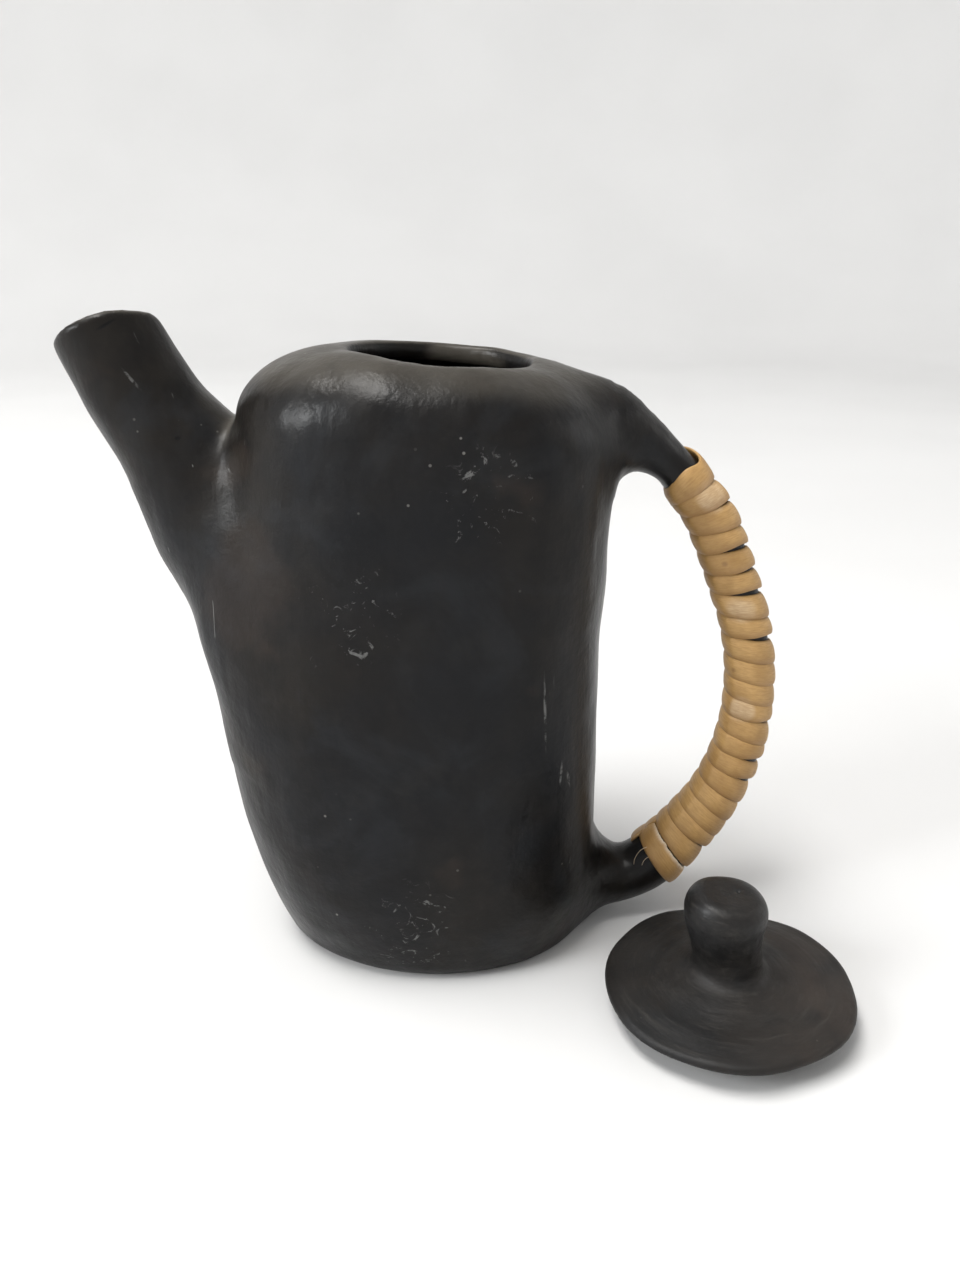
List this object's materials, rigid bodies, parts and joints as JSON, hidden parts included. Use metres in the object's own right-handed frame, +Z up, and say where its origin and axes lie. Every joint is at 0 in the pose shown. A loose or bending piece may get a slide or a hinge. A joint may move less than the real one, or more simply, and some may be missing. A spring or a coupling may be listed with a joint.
{
  "type": "clay pot with spout, handle and lid",
  "caption": "Hollow hand-built clay pot with a slanted tube spout, a cane-wrapped loop handle, a round mouth and a loose knobbed lid lying beside it.",
  "frame": {"origin": "centre of the pot's flat underside, on the surface it stands on", "axes": "+Z up; +X from the spout towards the handle; +Y away from the side on which the lid lies"},
  "size_m": [0.2347, 0.1356, 0.2022],
  "materials": {
    "clay": "burnished black reduction-fired clay, satin",
    "lid_clay": "black reduction-fired clay, brushed and nearly matte",
    "cane": "split cane strip, dry satin"
  },
  "bodies": {
    "pot": {"base_slab": "clay", "pot_wall": "clay", "mouth_rim": "clay", "spout": "clay", "handle": "clay", "cane_runner": "cane", "cane_wrap": "cane", "cane_top_band": "cane", "cane_end_band": "cane"},
    "lid": {"lid_disc": "lid_clay", "lid_knob": "lid_clay", "lid_ring": "lid_clay"}
  },
  "joints": [
    {"name": "lid_lift", "type": "slide", "parent": "pot", "child": "lid", "axis": [0, 0, 1], "range_m": [0, 0.22]}
  ]
}
